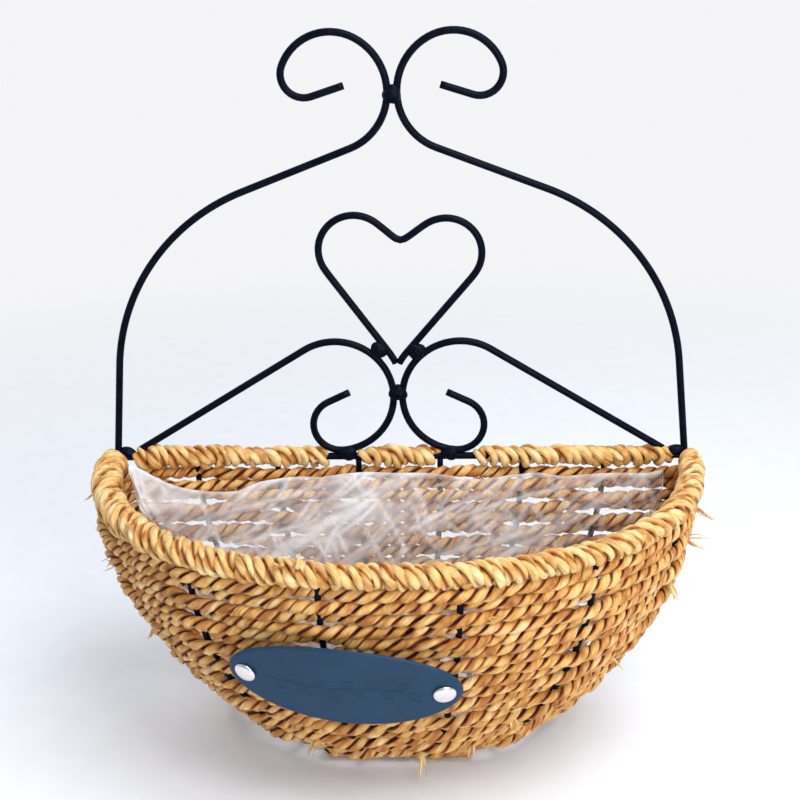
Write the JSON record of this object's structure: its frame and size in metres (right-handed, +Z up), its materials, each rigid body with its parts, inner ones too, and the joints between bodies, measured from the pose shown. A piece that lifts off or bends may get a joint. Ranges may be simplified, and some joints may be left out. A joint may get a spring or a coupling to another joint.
{
  "type": "hanging basket",
  "caption": "Half-round wall basket: black wire frame with scrolls and a heart, woven rope bowl, lift-out film liner and a riveted oval plaque.",
  "frame": {"origin": "where the basket hangs on its hook: the crotch under the neck weld, on the frame plane", "axes": "+Z up, +Y towards the wall behind the frame, +X to the right as seen from the front"},
  "size_m": [0.301, 0.1544, 0.3486],
  "materials": {
    "painted_steel": "black satin paint over round steel wire",
    "seagrass_rope": "two-strand twisted seagrass, golden straw with brown patches",
    "film": "clear crumpled polyethylene film",
    "plaque_face": "dark slate blue, satin, pressed motif",
    "nickel": "polished nickel-plated caps"
  },
  "bodies": {
    "frame": {"left_arch_rod": "painted_steel", "right_arch_rod": "painted_steel", "left_scroll_rod": "painted_steel", "right_scroll_rod": "painted_steel", "heart_rod": "painted_steel", "back_rail": "painted_steel", "rim_ring": "painted_steel", "neck_weld": "painted_steel", "centre_weld": "painted_steel", "left_heart_weld": "painted_steel", "right_heart_weld": "painted_steel", "left_rail_weld": "painted_steel", "right_rail_weld": "painted_steel", "left_corner_weld": "painted_steel", "right_corner_weld": "painted_steel", "rib_1": "painted_steel", "rib_2": "painted_steel", "rib_3": "painted_steel", "rib_4": "painted_steel", "rib_5": "painted_steel", "rib_6": "painted_steel", "rope_course_01": "seagrass_rope", "rope_course_02": "seagrass_rope", "rope_course_03": "seagrass_rope", "rope_course_04": "seagrass_rope", "rope_course_05": "seagrass_rope", "rope_course_06": "seagrass_rope", "rope_course_07": "seagrass_rope", "rope_course_08": "seagrass_rope", "rope_course_09": "seagrass_rope", "rope_course_10": "seagrass_rope", "rope_course_11": "seagrass_rope", "rope_course_12": "seagrass_rope", "rope_course_13": "seagrass_rope", "rope_course_14": "seagrass_rope", "rope_course_15": "seagrass_rope", "rope_course_16": "seagrass_rope", "rope_course_17": "seagrass_rope", "rope_course_18": "seagrass_rope", "base_rope_row_1": "seagrass_rope", "base_rope_row_2": "seagrass_rope", "base_rope_row_3": "seagrass_rope", "base_rope_row_4": "seagrass_rope", "base_rope_row_5": "seagrass_rope", "base_rope_row_6": "seagrass_rope", "front_rim_binding": "seagrass_rope", "left_rail_binding": "seagrass_rope", "middle_rail_binding": "seagrass_rope", "right_rail_binding": "seagrass_rope", "plaque": "plaque_face", "left_rivet": "nickel", "left_rivet_washer": "nickel", "right_rivet": "nickel", "right_rivet_washer": "nickel"},
    "liner": {"liner": "film"}
  },
  "joints": [
    {"name": "liner_lift", "type": "slide", "parent": "frame", "child": "liner", "axis": [0, 0, 1], "range_m": [0, 0.15]}
  ]
}
